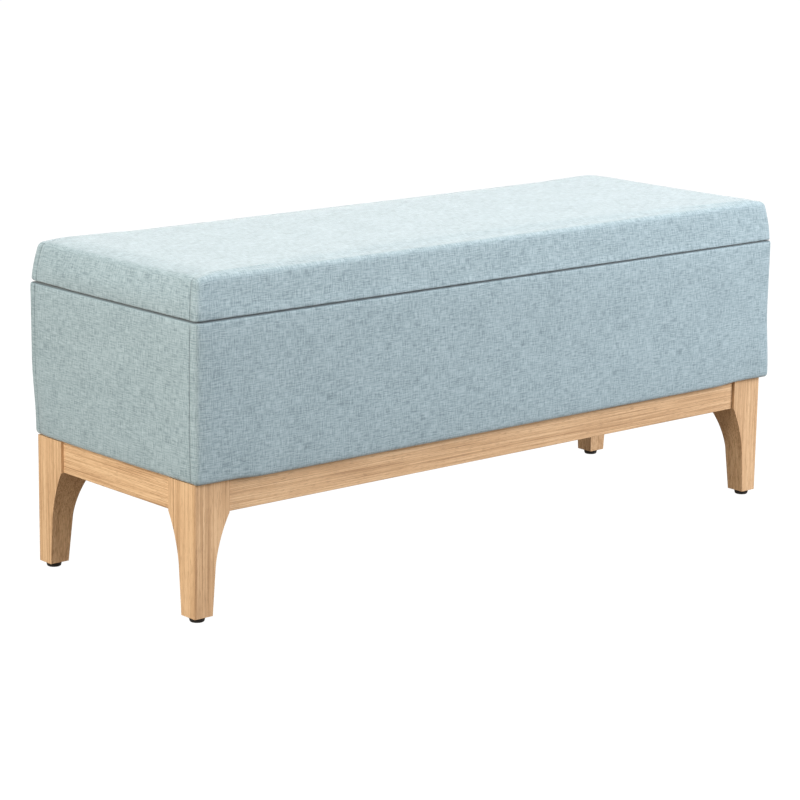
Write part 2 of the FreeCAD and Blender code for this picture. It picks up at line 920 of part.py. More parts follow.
def buildStay(label, side):
    name = f"Stay{label.capitalize()}"
    layers = steps(
        "stay_plate", "stay_air", "stay_arm", "stay_arm_air", "stay_arm", "stay_arm_air", "stay_arm"
    )
    plate_layer, _, long_layer, _, short_layer, _, web_layer = layers
    fit = "stay_pin_radius + stay_pivot_fit"
    high = math.degrees(math.atan2(dimensions["stay_lid_drop"], dimensions["stay_lid_forward"]))
    lean = math.degrees(math.atan2(dimensions["stay_box_drop"], dimensions["stay_box_back"]))
    long_arm = buildArm(
        f"{name}Long",
        str(stay_lid_length),
        stay_box_y,
        stay_box_z,
        180 + high,
        side,
        long_layer,
        (fit, "stay_pin_radius"),
    )
    node(f"stay_{label}_long_arm", long_arm)
    short_arm = buildArm(
        f"{name}Short",
        str(stay_box_length),
        stay_lid_y,
        stay_lid_z,
        180 + lean,
        side,
        short_layer,
        (fit, fit),
    )
    node(f"stay_{label}_short_arm", short_arm)

    def turned(part, layer, radius, y, z):
        x = inwards(side, layer)
        length = f"({x[1]}) - ({x[0]})"
        return cylinder(f"{name}{part}", radius, length, (x[0], y, z), (1, 0, 0))

    # A thin head lies a little clear of the arm, further in or further out.
    def headPast(face):
        return f"{face} + stay_head_air", f"{face} + stay_head_air + stay_head"

    def headBefore(face):
        return f"{face} - stay_head_air - stay_head", f"{face} - stay_head_air"

    # The box plate carries a stud with a thin head, and so does the lid bracket.
    slab = box(
        f"{name}Slab",
        inwards(side, plate_layer),
        (f"{stay_box_y} - stay_plate_front", f"{stay_box_y} + stay_plate_back"),
        (f"{stay_box_z} - stay_plate_below", f"{stay_box_z} + stay_plate_above"),
    )
    head_layer = headPast(long_layer[1])
    stud = turned("Stud", ("0", head_layer[0]), "stay_pin_radius", stay_box_y, stay_box_z)
    head = turned("StudHead", head_layer, "stay_pin_head", stay_box_y, stay_box_z)
    plate_whole = fuse(f"{name}Plate", [slab, stud, head])
    node(f"stay_{label}_box_plate", cut(f"{name}PlateDrilled", plate_whole, [stay_screws_box]))

    foot_y_span = (f"{stay_lid_y} - stay_foot_depth / 2", f"{stay_lid_y} + stay_foot_depth / 2")
    web_z_span = (f"{stay_lid_z} - stay_web_drop", lid_low)
    web = box(f"{name}Web", inwards(side, web_layer), foot_y_span, web_z_span)
    foot_layer = (web_layer[0], f"{web_layer[1]} + stay_foot_width")
    foot_z_span = (f"{lid_low} - stay_plate", lid_low)
    foot = box(f"{name}Foot", inwards(side, foot_layer), foot_y_span, foot_z_span)
    head_layer = headBefore(short_layer[0])
    stud_layer = (head_layer[1], web_layer[0])
    stud = turned("LidStud", stud_layer, "stay_pin_radius", stay_lid_y, stay_lid_z)
    head = turned("LidStudHead", head_layer, "stay_pin_head", stay_lid_y, stay_lid_z)
    bracket = fuse(f"{name}Bracket", [web, foot, stud, head])
    node(f"stay_{label}_lid_bracket", cut(f"{name}BracketDrilled", bracket, [stay_screws_lid]))

    # The elbow pin is fast in the long arm and free in the short one.
    elbow_y = f"({stay_box_y} - stay_lid_forward)"
    elbow_z = f"({stay_box_z} - stay_lid_drop)"
    head_layer = headPast(short_layer[1])
    shaft_layer = (long_layer[0], head_layer[0])
    shaft = turned("Elbow", shaft_layer, "stay_pin_radius", elbow_y, elbow_z)
    head = turned("ElbowHead", head_layer, "stay_pin_head", elbow_y, elbow_z)
    collar_layer = (long_layer[1], f"{short_layer[0]} - stay_collar_air")
    collar = turned("ElbowCollar", collar_layer, "stay_pin_head", elbow_y, elbow_z)
    node(f"stay_{label}_elbow_pin", fuse(f"{name}Pin", [shaft, head, collar]))


for label, side in sides.items():
    buildStay(label, side)

# Checks, export.

document.recompute()
faults = [
    thing.Name
    for thing in document.Objects
    if any(word in state for state in thing.State for word in ("Invalid", "Error"))
]
faults += [
    label
    for label, thing in nodes.items()
    if thing.Shape.isNull() or not thing.Shape.isValid() or not thing.Shape.Solids
]
if faults:
    raise SystemExit(f"failed pieces: {faults}")

for label, thing in nodes.items():
    thing.Shape.exportStep(f"parts/{label}.step")
    bounds = thing.Shape.BoundBox
    low = [round(number, 1) for number in (bounds.XMin, bounds.YMin, bounds.ZMin)]
    high = [round(number, 1) for number in (bounds.XMax, bounds.YMax, bounds.ZMax)]
    volume = thing.Shape.Volume / 1000
    print(f"{label:26} {len(thing.Shape.Solids)} solids {volume:9.1f} cm3", low, high)
print(len(nodes), "nodes")
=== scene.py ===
import json
import math

import bmesh
import bpy
from mathutils import Matrix, Vector, noise


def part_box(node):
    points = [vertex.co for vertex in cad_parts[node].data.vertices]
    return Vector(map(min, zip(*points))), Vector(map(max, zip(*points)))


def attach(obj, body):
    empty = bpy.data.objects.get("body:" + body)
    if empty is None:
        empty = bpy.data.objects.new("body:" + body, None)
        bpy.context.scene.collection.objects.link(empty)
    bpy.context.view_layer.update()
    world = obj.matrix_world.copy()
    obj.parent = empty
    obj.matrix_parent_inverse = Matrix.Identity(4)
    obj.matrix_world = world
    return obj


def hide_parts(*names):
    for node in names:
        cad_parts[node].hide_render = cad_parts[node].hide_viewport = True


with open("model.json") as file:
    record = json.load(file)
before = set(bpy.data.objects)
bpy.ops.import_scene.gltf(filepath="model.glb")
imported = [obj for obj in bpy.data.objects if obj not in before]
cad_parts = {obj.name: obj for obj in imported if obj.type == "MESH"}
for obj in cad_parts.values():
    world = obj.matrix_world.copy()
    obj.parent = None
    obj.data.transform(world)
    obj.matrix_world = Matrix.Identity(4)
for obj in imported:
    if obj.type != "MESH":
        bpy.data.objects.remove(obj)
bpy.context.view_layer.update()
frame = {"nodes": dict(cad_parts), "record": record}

scene = bpy.context.scene
nodes = frame["nodes"]
corners = ("front_left", "front_right", "back_right", "back_left")


class Shade:
    # a shader socket that can be written into sums and products

    def __init__(self, finish, socket):
        self.finish = finish
        self.socket = socket

    def maths(self, operation, first, second=0.0):
        return self.finish.node("ShaderNodeMath", {"operation": operation}, {0: first, 1: second})

    def __add__(self, other):
        return self.maths("ADD", self, other)

    def __radd__(self, other):
        return self.maths("ADD", other, self)

    def __sub__(self, other):
        return self.maths("SUBTRACT", self, other)

    def __rsub__(self, other):
        return self.maths("SUBTRACT", other, self)

    def __mul__(self, other):
        return self.maths("MULTIPLY", self, other)

    def __rmul__(self, other):
        return self.maths("MULTIPLY", other, self)

    def sine(self):
        return self.maths("SINE", self)

    def clamped(self):
        return self.maths("MINIMUM", self.maths("MAXIMUM", self, 0.0), 1.0)


class Finish:
    def __init__(self, name, owner=None):
        # owner is a world that gets these nodes in place of a new material
        self.material = owner or bpy.data.materials.new(name)
        self.material.use_nodes = True
        self.tree = self.material.node_tree
        self.tree.nodes.clear()

    def node(self, kind, settings=None, sockets=None, output=0):
        made = self.tree.nodes.new(kind)
        for key, setting in (settings or {}).items():
            if key == "stops":
                ramp = made.color_ramp.elements
                while len(ramp) < len(setting):
                    ramp.new(0.5)
                for element, (place, tone) in zip(ramp, setting):
                    element.position = place
                    element.color = tone
            else:
                setattr(made, key, setting)
        for key, given in (sockets or {}).items():
            if isinstance(given, Shade):
                self.tree.links.new(given.socket, made.inputs[key])
            else:
                made.inputs[key].default_value = given
        return Shade(self, made.outputs[output]) if made.outputs else None

    def place(self, source, stretch):
        # source is Object or UV; stretch gives the pattern's repeats per metre
        where = self.node("ShaderNodeTexCoord", output={"Object": 3, "UV": 2}[source])
        return self.node("ShaderNodeMapping", sockets={"Vector": where, "Scale": stretch})

    def grain(self, where, detail=2.0, roughness=0.5, distortion=0.0):
        return self.node(
            "ShaderNodeTexNoise",
            sockets={
                "Vector": where,
                "Scale": 1.0,
                "Detail": detail,
                "Roughness": roughness,
                "Distortion": distortion,
            },
        )

    def blend(self, share, first, second):
        return self.node(
            "ShaderNodeMix",
            {"data_type": "RGBA", "blend_type": "MIX", "clamp_result": False},
            {0: share, 6: first, 7: second},
            output=2,
        )

    def axes(self, where):
        parts = self.node("ShaderNodeSeparateXYZ", sockets={0: where})
        source = parts.socket.node
        return [Shade(self, output) for output in source.outputs]

    def finish(self, colour, roughness, bumps=None, depth=0.001, strength=1.0, **fixed):
        sockets = {"Base Color": colour, "Roughness": roughness}
        if bumps is not None:
            sockets["Normal"] = self.node(
                "ShaderNodeBump",
                sockets={"Height": bumps, "Distance": depth, "Strength": strength},
            )
        sockets.update({key.replace("_", " "): number for key, number in fixed.items()})
        shader = self.node("ShaderNodeBsdfPrincipled", sockets=sockets)
        self.node("ShaderNodeOutputMaterial", sockets={"Surface": shader})
        return self.material


def tone(red, green, blue):
    return (red, green, blue, 1.0)


upholsteryLook = {
    "pale": tone(0.42, 0.52, 0.56),
    "mid": tone(0.325, 0.415, 0.452),
    "deep": tone(0.205, 0.272, 0.302),
    # painted shade tone: the seam grooves and the faces on either side of the lid gap are darkened toward
    # it
    "seam": tone(0.1, 0.135, 0.15),
    "threadPitch": 0.0020,
    "weftWidth": 0.0013,
    "weftLength": 0.017,
    "warpWidth": 0.0016,
    "warpLength": 0.013,
    "blotch": 0.05,
    "roughness": 0.95,
    "weaveDepth": 0.0004,
}


def makeUpholstery():
    look = upholsteryLook
    finish = Finish("upholsteryFabric")
    weftScale = (1 / look["weftLength"], 1 / look["weftWidth"], 1)
    warpScale = (1 / look["warpWidth"], 1 / look["warpLength"], 1)
    weft = finish.grain(finish.place("UV", weftScale), 2.5, 0.6)
    warp = finish.grain(finish.place("UV", warpScale), 2.5, 0.6)
    blotch = finish.grain(finish.place("UV", (1 / look["blotch"],) * 3), 3.0, 0.6)
    across, up, _ = finish.axes(finish.place("UV", (2 * math.pi / look["threadPitch"],) * 3))
    weave = across.sine() * up.sine()
    mix = 0.5 + (weft - 0.5) * 1.55 + (warp - 0.5) * 1.4 + (blotch - 0.5) * 0.35 + weave * 0.1
    colour = finish.node(
        "ShaderNodeValToRGB",
        {"stops": [(0.15, look["deep"]), (0.5, look["mid"]), (0.88, look["pale"])]},
        {0: mix.clamped()},
    )
    # the seam mask paints shade: it darkens the colour toward the seam tone in the seam grooves and on the
    # faces at the lid gap
    seam = finish.node("ShaderNodeAttribute", {"attribute_name": "seam"}, output=2)
    colour = finish.blend(seam * 0.75, colour, look["seam"])
    bumps = weave * 0.35 + weft * 0.9 + warp * 0.7
    return finish.finish(
        colour,
        look["roughness"],
        bumps,
        look["weaveDepth"],
        0.6,
        Sheen_Weight=0.42,
        Sheen_Roughness=0.35,
        Specular_IOR_Level=0.1,
    )


clothLooks = {
    "liningFabric": {
        "light": tone(0.085, 0.09, 0.096),
        "dark": tone(0.034, 0.036, 0.04),
        "pitch": 0.0012,
        "depth": 0.0003,
    },
    "dustCloth": {
        "light": tone(0.045, 0.045, 0.048),
        "dark": tone(0.015, 0.015, 0.017),
        "pitch": 0.0022,
        "depth": 0.0002,
    },
}


def makeCloth(name):
    look = clothLooks[name]
    finish = Finish(name)
    x, y, z = finish.axes(finish.place("Object", (2 * math.pi / look["pitch"],) * 3))
    weave = (x + z).sine() * (y - z).sine()
    fibre = finish.grain(finish.place("Object", (1 / (2 * look["pitch"]),) * 3), 3.0, 0.65)
    fold = finish.grain(finish.place("Object", (14,) * 3), 2.0, 0.5)
    mix = (0.15 + fibre * 0.6 + fold * 0.25 + weave * 0.12).clamped()
    colour = finish.blend(mix, look["dark"], look["light"])
    return finish.finish(colour, 0.95, weave * 0.5 + fibre, look["depth"], 0.6, Sheen_Weight=0.2)


oakLook = {
    "pale": tone(0.80, 0.55, 0.325),
    "mid": tone(0.66, 0.42, 0.232),
    "dark": tone(0.36, 0.2, 0.098),
    "strip": 0.017,
    "ring": 0.0027,
    "line": 0.0009,
    "along": 0.3,
    "pore": 0.00055,
    "poreLength": 0.013,
    "roughness": 0.4,
}


def makeOak(name, direction, offset=0.0, wave=0.35):
    # direction is the axis that the grain runs along; wave bends the grain sideways
    look = oakLook
    finish = Finish(name)

    def stretched(width, length):
        scale = [1 / width] * 3
        scale[direction] = 1 / length
        return finish.place("Object", scale)

    strips = finish.grain(stretched(look["strip"], look["along"] * 4), 1.0, 0.4, 0.2)
    rings = finish.grain(stretched(look["ring"], look["along"]), 3.0, 0.6, wave)
    lines = finish.grain(stretched(look["line"], look["along"] * 0.6), 2.0, 0.6)
    pores = finish.grain(stretched(look["pore"], look["poreLength"]), 1.0, 0.5)
    wander = finish.grain(stretched(0.03, 0.07), 2.0, 0.5)
    shade = 0.5 + (strips - 0.5) * 0.45 + (rings - 0.5) * 1.0 + (lines - 0.5) * 1.7
    shade = (shade + (wander - 0.5) * 0.3 + offset).clamped()
    colour = finish.node(
        "ShaderNodeValToRGB",
        {"stops": [(0.08, look["dark"]), (0.48, look["mid"]), (0.8, look["pale"])]},
        {0: shade},
    )
    holes = ((0.43 - pores) * 8).clamped()
    colour = finish.blend(holes * 0.65, colour, look["dark"])
    bumps = lines * 0.5 + rings * 0.35 - holes * 0.5
    roughness = look["roughness"] + holes * 0.2 + (rings - 0.5) * 0.12
    return finish.finish(colour, roughness, bumps, 0.0003, 0.5, Specular_IOR_Level=0.5)


def makeBoard():
    finish = Finish("rawBoard")
    chips = finish.node(
        "ShaderNodeTexVoronoi",
        {"feature": "F1"},
        {"Vector": finish.place("Object", (260, 700, 260)), "Scale": 1.0},
    )
    fleck = finish.grain(finish.place("Object", (400,) * 3), 3.0, 0.7)
    mix = (chips * 0.6 + fleck * 0.7 - 0.2).clamped()
    colour = finish.blend(mix, tone(0.36, 0.25, 0.15), tone(0.62, 0.48, 0.32))
    return finish.finish(colour, 0.8, mix, 0.0002, 0.5)


def makeFoam():
    finish = Finish("padFoam")
    cells = finish.node(
        "ShaderNodeTexVoronoi",
        {"feature": "F1"},
        {"Vector": finish.place("Object", (900,) * 3), "Scale": 1.0},
    )
    colour = finish.blend(cells.clamped(), tone(0.78, 0.7, 0.5), tone(0.9, 0.84, 0.66))
    return finish.finish(colour, 0.9, cells, 0.0004, 0.6)


def makePlastic():
    finish = Finish("glidePlastic")
    texture = finish.grain(finish.place("Object", (1600,) * 3), 2.0, 0.6)
    scuff = finish.grain(finish.place("Object", (180, 180, 700)), 3.0, 0.6)
    colour = finish.blend(scuff, tone(0.012, 0.012, 0.013), tone(0.03, 0.03, 0.032))
    return finish.finish(colour, 0.34 + texture * 0.22, texture, 0.0001, 0.4)


def makeRubber():
    finish = Finish("bumperRubber")
    texture = finish.grain(finish.place("Object", (1200,) * 3), 2.0, 0.6)
    colour = finish.blend(texture, tone(0.02, 0.02, 0.021), tone(0.045, 0.045, 0.047))
    return finish.finish(colour, 0.78, texture, 0.0002, 0.5)


def makeSteel():
    finish = Finish("zincedSteel")
    spangle = finish.grain(finish.place("Object", (260,) * 3), 2.0, 0.5)
    brushed = finish.grain(finish.place("Object", (90, 2600, 2600)), 2.0, 0.6)
    colour = finish.blend(spangle, tone(0.5, 0.5, 0.51), tone(0.66, 0.66, 0.67))
    roughness = 0.26 + brushed * 0.2 + spangle * 0.06
    return finish.finish(colour, roughness, brushed, 0.00004, 0.4, Metallic=1.0)


upholstery = makeUpholstery()
liningCloth = makeCloth("liningFabric")
dustCloth = makeCloth("dustCloth")
oakAlongX = makeOak("oakAlongX", 0, 0.02, 0.9)
oakAlongY = makeOak("oakAlongY", 1, 0.02, 0.9)
oakUpright = makeOak("oakUpright", 2)
rawBoard = makeBoard()
padFoam = makeFoam()
glidePlastic = makePlastic()
bumperRubber = makeRubber()
zincedSteel = makeSteel()
print("materials made")


def addPiece(name, bm, material, body, replaced=(), smooth=True):
    mesh = bpy.data.meshes.new(name)
    bm.to_mesh(mesh)
    bm.free()
    piece = bpy.data.objects.new(name, mesh)
    scene.collection.objects.link(piece)
    mesh.materials.append(material)
    for face in mesh.polygons:
        face.use_smooth = smooth
    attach(piece, body)
    if replaced:
        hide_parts(*replaced)
    return piece


def boxMesh(low, high):
    bm = bmesh.new()
    bmesh.ops.create_cube(bm, size=1)
    size = Vector(high) - Vector(low)
    middle = (Vector(high) + Vector(low)) / 2
    bmesh.ops.transform(
        bm, matrix=Matrix.Translation(middle) @ Matrix.Diagonal((*size, 1)), verts=bm.verts
    )
    return bm


def roundEdges(bm, chosen, radius, segments):
    edges = [edge for edge in bm.edges if chosen(edge)]
    bmesh.ops.bevel(
        bm,
        geom=edges,
        offset=radius,
        segments=segments,
        profile=0.5,
        affect="EDGES",
        material=-1,
        clamp_overlap=True,
    )


def isUpright(edge):
    first, second = (vert.co for vert in edge.verts)
    return abs(first.z - second.z) > 0.9 * (first - second).length


def isLevelAt(height):
    return lambda edge: all(abs(vert.co.z - height) < 1e-5 for vert in edge.verts)


def cutAcross(bm, axis, places):
    normal = Vector([float(index == axis) for index in range(3)])
    for place in places:
        bmesh.ops.bisect_plane(
            bm,
            geom=bm.verts[:] + bm.edges[:] + bm.faces[:],
            dist=1e-6,
            plane_co=normal * place,
            plane_no=normal,
        )


def spread(low, high, step):
    count = max(1, round((high - low) / step))
    return [low + (high - low) * index / count for index in range(1, count)]


def ease(value, low, high):
    share = min(max((value - low) / (high - low), 0.0), 1.0)
    return share * share * (3 - 2 * share)


def layCloth(bm, top=None):
    # the weave follows each panel: up the front, over the top, down the back
    layer = bm.loops.layers.uv.new("weave")
    reach = max(vert.co.y for vert in bm.verts)
    for face in bm.faces:
        facing = face.normal
        isEnd = abs(facing.x) > max(abs(facing.y), abs(facing.z))
        for loop in face.loops:
            x, y, z = loop.vert.co
            if isEnd:
                loop[layer].uv = (y + (3.0 if facing.x > 0 else 5.0), z)
            elif top is None:
                loop[layer].uv = (x, z + (2.0 if facing.y > 0 else 0.0))
            else:
                drop = top - z
                loop[layer].uv = (x, top + y + reach + (drop if y > 0 else -drop))


def swell(piece, look, held):
    # a short cloth run lets the cover fill out between its seams; held(point)
    # is 1 where it is sewn or tacked, and limits keep it over its foam
    points = [vert.co.copy() for vert in piece.data.vertices]
    group = piece.vertex_groups.new(name="sewn")
    for index, point in enumerate(points):
        group.add([index], held(point), "REPLACE")
    cloth = piece.modifiers.new("cloth", "CLOTH")
    settings = cloth.settings
    settings.quality = 6
    settings.mass = 0.3
    settings.tension_stiffness = look["stretch"]
    settings.compression_stiffness = look["stretch"]
    settings.shear_stiffness = look["stretch"] / 3
    settings.bending_stiffness = look["bend"]
    settings.use_pressure = True
    settings.uniform_pressure_force = look["pressure"]
    settings.vertex_group_mass = "sewn"
    settings.effector_weights.gravity = 0.0
    cloth.point_cache.frame_start = 1
    cloth.point_cache.frame_end = look["frames"]
    for step in range(1, look["frames"] + 1):
        scene.frame_set(step)
    evaluated = piece.evaluated_get(bpy.context.evaluated_depsgraph_get())
    moved = [vert.co.copy() for vert in evaluated.data.vertices]
    piece.modifiers.remove(cloth)
    piece.vertex_groups.clear()
    scene.frame_set(1)
    for vert, point, swollen in zip(piece.data.vertices, points, moved):
        push = swollen - point
        most = look["mostUp"] if abs(push.z) > 0.7 * push.length else look["mostOut"]
        if push.length > 1e-9:
            push *= most * math.tanh(push.length / most) / push.length
        vert.co = point + push


def drawSeam(bm, isOnEnd, offset, width, depth):
    # pulls the end cloth in along its two upright seams and marks it for painted shade
    # along each seam groove; offset(vert) is how far a vertex lies from its seam
    layer = bm.verts.layers.float.new("seam")
    for vert in bm.verts:
        if isOnEnd(vert):
            gap = offset(vert) / width
            pull = depth * math.exp(-gap * gap) - 0.0004 * math.exp(-((abs(gap) - 1.9) ** 2))
            vert.co.x -= math.copysign(pull, vert.co.x)
            vert[layer] = math.exp(-((gap * 1.4) ** 2))


def thicken(piece, thickness):
    shell = piece.modifiers.new("clothThickness", "SOLIDIFY")
    shell.thickness = thickness
    shell.offset = -1.0
    shell.use_even_offset = True


def subdivide(piece, level=1):
    smoother = piece.modifiers.new("smooth", "SUBSURF")
    smoother.levels = level
    smoother.render_levels = level


boxLow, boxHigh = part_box("body_cover")
lidLow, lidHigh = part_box("lid_cover")

lidCoverLook = {
    "reach": 0.0008,  # the lid's lower edge stands this far inside the box
    "corner": 0.0075,
    "topEdge": 0.0185,
    "lowEdge": 0.0028,
    "lean": 0.0074,
    "leanCurve": 1.5,
    "rest": 0.0002,  # the top starts this far below its full height and swells up to it
    "droop": 0.0016,
    "tilt": 0.0021,  # the right end's padding stands this much prouder than the middle's
    "relief": 0.0036,
    "lip": 0.0009,  # the lower edge hangs this far at the front and ends
    "lipInset": (0.012, 0.02),
    "lipHeight": (0.001, 0.012),
    "lipBehind": (0.08, 0.14),
    "reliefDepth": 0.011,
    "reliefHeight": (0.001, 0.014),
    # height of the turned-in lower face that gets painted shade
    "facing": 0.0006,
    "ear": 0.0012,
    "earReach": 0.02,
    "wander": 0.0004,
    "droopReach": 0.045,
    "hem": 0.0285,
    "cloth": 0.0015,
    "grid": 0.0095,
    "seamInset": 0.0155,
    "seamWidth": 0.0011,
    "seamDepth": 0.0016,
    "stretch": 18,
    "bend": 0.4,
    "pressure": 3.0,
    "frames": 16,
    "mostUp": 0.003,
    "mostOut": 0.002,
}


def shapeLidCover():
    look = lidCoverLook
    reachX = boxHigh.x - look["reach"]
    reachY = boxHigh.y - look["reach"]
    low = lidLow.z
    high = lidHigh.z - look["rest"]
    bm = boxMesh((-reachX, -reachY, low), (reachX, reachY, high))
    roundEdges(bm, isUpright, look["corner"], 3)
    roundEdges(bm, isLevelAt(high), look["topEdge"], 5)
    roundEdges(bm, isLevelAt(low), look["lowEdge"], 3)
    flat = look["topEdge"] * 1.2
    cutAcross(bm, 0, spread(-reachX + flat, reachX - flat, look["grid"]))
    cutAcross(bm, 1, spread(-reachY + flat, reachY - flat, look["grid"]))
    cutAcross(bm, 2, spread(low + look["lowEdge"], high - look["topEdge"], look["grid"]))
    seam = reachY - look["seamInset"]
    offsets = [step * look["seamWidth"] for step in (-2, -1, 0, 1, 2)]
    for side in (-1, 1):
        cutAcross(bm, 1, [side * seam + offset for offset in offsets])
    layCloth(bm, high)
    for vert in bm.verts:
        share = (vert.co.z - low) / (high - low)
        vert.co.x *= 1 - look["lean"] / reachX * share ** look["leanCurve"]
        vert.co.y *= 1 - look["lean"] / reachY * share ** look["leanCurve"]
        alongX = ease(reachX - abs(vert.co.x), 0, look["droopReach"])
        alongY = ease(reachY - abs(vert.co.y), 0, look["droopReach"])
        vert.co.z -= look["droop"] * (1 - alongX) * (1 - alongY) * share
        vert.co.z += look["tilt"] * vert.co.x / reachX * share
        if vert.co.z > low + 0.0005:
            earX = 1 - ease(reachX - abs(vert.co.x), 0, look["earReach"])
            earY = 1 - ease(reachY - abs(vert.co.y), 0, look["earReach"])
            ear = earX * earY
            wander = noise.noise(Vector((vert.co.x * 14, vert.co.y * 14, 3.0)))
            vert.co.z += (look["wander"] * wander - look["ear"] * ear) * (1 - share) ** 2
    return bm, reachX, reachY, low, high


def makeLidCover():
    look = lidCoverLook
    bm, reachX, reachY, low, high = shapeLidCover()
    cover = addPiece("lidCover", bm, upholstery, "lid", ("lid_cover", "lid_foam"))

    def held(point):
        if point.z < low + look["lowEdge"]:
            return 1.0
        nearX = 1 - ease(reachX - look["lean"] - abs(point.x), 0.0, 0.03)
        nearY = 1 - ease(reachY - look["lean"] - abs(point.y), 0.0, 0.03)
        return nearX * nearY

    swell(cover, look, held)
    bm = bmesh.new()
    bm.from_mesh(cover.data)
    seam = reachY - look["seamInset"]

    def fromSeam(vert):
        rise = max(vert.co.z - low, 0) / (high - low)
        return abs(vert.co.y) / (1 - look["lean"] / reachY * rise ** look["leanCurve"]) - seam

    def isOnEnd(vert):
        return abs(vert.co.x) > reachX - look["lean"] - 0.004 and vert.co.z > low + 0.001

    drawSeam(bm, isOnEnd, fromSeam, look["seamWidth"], look["seamDepth"])
    hole = [
        face
        for face in bm.faces
        if face.normal.z < -0.8
        and abs(face.calc_center_median().x) < reachX - look["hem"]
        and abs(face.calc_center_median().y) < reachY - look["hem"]
    ]
    bmesh.ops.delete(bm, geom=hole, context="FACES")
    # away from the hinges the lower edge nearly closes the gap, and its turned-in
    # face gets painted shade, the seam's deep tone, so that the gap reads dark
    for vert in bm.verts:
        edgeX = 1 - ease(reachX - abs(vert.co.x), *look["lipInset"])
        edgeY = 1 - ease(reachY + vert.co.y, *look["lipInset"])
        lowness = 1 - ease(vert.co.z - low, *look["lipHeight"])
        forward = 1 - ease(vert.co.y, *look["lipBehind"])
        if vert.co.z < low + look["facing"]:
            vert[bm.verts.layers.float["seam"]] = 1.0
        vert.co.z -= look["lip"] * lowness * max(edgeX, edgeY) * forward
        # behind the hinge pins it is rolled up, so that it clears the box as the lid opens
        behind = ease(vert.co.y, reachY - look["reliefDepth"], reachY)
        vert.co.z += look["relief"] * behind * (1 - ease(vert.co.z - low, *look["reliefHeight"]))
    bm.to_mesh(cover.data)
    bm.free()
    thicken(cover, look["cloth"])
    subdivide(cover)
    return cover


makeLidCover()
print("lid cover made")

boxCoverLook = {
    "corner": 0.0065,
    "topEdge": 0.0034,
    "lowEdge": 0.0125,
    "sag": 0.0030,
    "sagAtLeg": 0.0004,
    "drop": 0.0003,
    "tuck": {(-1, 1): 0.0036, (1, -1): -0.003, (-1, -1): 0.0008, (1, 1): 0.0012},
    "tuckReach": 0.045,
    "tuckHeight": (0.01, 0.11),
    # depth of the band at the top of the flange that gets painted shade
    "facing": 0.0006,
    "flange": 0.0245,
    "hem": 0.0285,
    "cloth": 0.0015,
    "grid": 0.011,
    "seamInset": 0.0145,
    "seamWidth": 0.0011,
    "seamDepth": 0.0017,
    "stretch": 24,
    "bend": 0.5,
    "pressure": 2.0,
    "frames": 14,
    "mostUp": 0.001,
    "mostOut": 0.0022,
}


legInner = Vector((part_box("leg_front_right")[0].x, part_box("leg_back_right")[0].y))
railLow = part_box("rail_back")[1].y
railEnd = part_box("rail_right")[1].x


